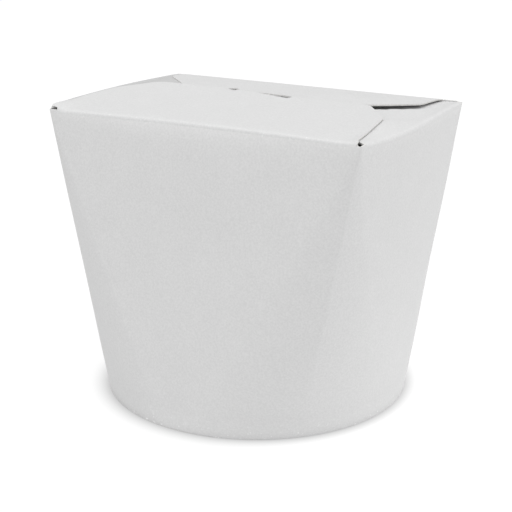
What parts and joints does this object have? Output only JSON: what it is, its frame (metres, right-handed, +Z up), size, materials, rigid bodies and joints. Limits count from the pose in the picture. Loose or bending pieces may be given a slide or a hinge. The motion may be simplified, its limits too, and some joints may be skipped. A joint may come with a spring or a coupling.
{
  "type": "takeaway food carton",
  "caption": "Shut kebab box of white paperboard: round raised base, wall that widens to a rectangular top, low roof of tucked flaps.",
  "frame": {"origin": "centre of the round base, on the surface the box stands on", "axes": "+X along the long side of the top, +Z up, -Y towards the front, where the top flap's fold is"},
  "size_m": [0.115, 0.1, 0.097],
  "materials": {
    "coated_board": "matte white coated board",
    "base_board": "matte white board"
  },
  "bodies": {
    "root": {"carton_wall": "coated_board", "base_disc": "base_board", "left_end_flap": "coated_board", "right_end_flap": "coated_board", "back_flap": "coated_board", "front_flap": "coated_board"}
  },
  "joints": []
}
